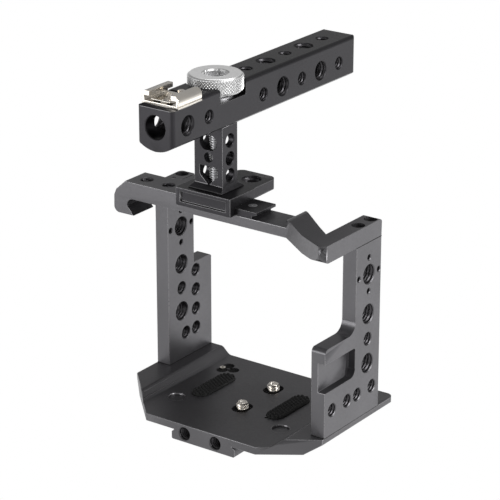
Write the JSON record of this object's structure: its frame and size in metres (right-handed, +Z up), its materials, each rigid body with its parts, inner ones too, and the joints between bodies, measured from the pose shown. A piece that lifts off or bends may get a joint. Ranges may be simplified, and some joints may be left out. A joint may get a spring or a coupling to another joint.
{
  "type": "camera cage",
  "caption": "Open frame cage for a camera, with threaded side plates, a bolted top handle, a knurled thumb screw, a cold shoe and a tripod foot.",
  "frame": {"origin": "on the underside of the tripod foot, on the line of the two camera screws, in the plane of the side plates' front edges", "axes": "+X to the right seen from the front of the cage (the strap pocket's side), +Y to the rear, +Z up"},
  "size_m": [0.1398, 0.1534, 0.1743],
  "materials": {
    "black_anodised": "satin black anodised",
    "bright_aluminium": "machined",
    "chrome_trim": "polished",
    "steel": "plain",
    "black_steel": "black oxide",
    "rubber": "matte"
  },
  "bodies": {
    "frame": {"base_plate": "black_anodised", "left_side_plate": "black_anodised", "right_side_plate": "black_anodised", "left_base_screws": "black_steel", "right_base_screws": "black_steel", "left_top_screw": "black_steel", "left_locating_pin": "steel", "right_top_screws": "black_steel", "top_plate": "black_anodised", "accessory_rail": "black_anodised", "rail_screws": "steel", "left_rubber_pad": "rubber", "right_rubber_pad": "rubber", "floor_set_screw": "chrome_trim", "handle_foot": "black_anodised", "handle_post": "black_anodised", "post_screws": "black_steel", "handle_bar": "black_anodised", "bar_screws": "black_steel", "wheel_washer": "steel", "cold_shoe": "chrome_trim", "shoe_spring": "steel", "shoe_screws": "steel", "shoe_stop_screw": "chrome_trim"},
    "thumb_screw": {"thumbwheel": "bright_aluminium", "clamp_screw": "steel", "screw_retaining_ring": "steel"},
    "front_slide": {"front_screw_washer": "steel"},
    "front_screw": {"front_camera_screw": "chrome_trim"},
    "rear_slide": {"rear_screw_washer": "steel"},
    "rear_screw": {"rear_camera_screw": "chrome_trim"}
  },
  "joints": [
    {"name": "thumb_screw_turn", "type": "hinge", "parent": "frame", "child": "thumb_screw", "pos_m": [-0.0248, 0, 0.17], "axis": [0, 0, 1], "continuous": true},
    {"name": "front_screw_slide", "type": "slide", "parent": "frame", "child": "front_slide", "axis": [0, 1, 0], "range_m": [-0.0015, 0.0015]},
    {"name": "front_screw_turn", "type": "hinge", "parent": "front_slide", "child": "front_screw", "pos_m": [0, -0.0127, 0.005], "axis": [0, 0, 1], "continuous": true},
    {"name": "rear_screw_slide", "type": "slide", "parent": "frame", "child": "rear_slide", "axis": [0, 1, 0], "range_m": [-0.0015, 0.0015]},
    {"name": "rear_screw_turn", "type": "hinge", "parent": "rear_slide", "child": "rear_screw", "pos_m": [0, 0.0139, 0.005], "axis": [0, 0, 1], "continuous": true}
  ]
}
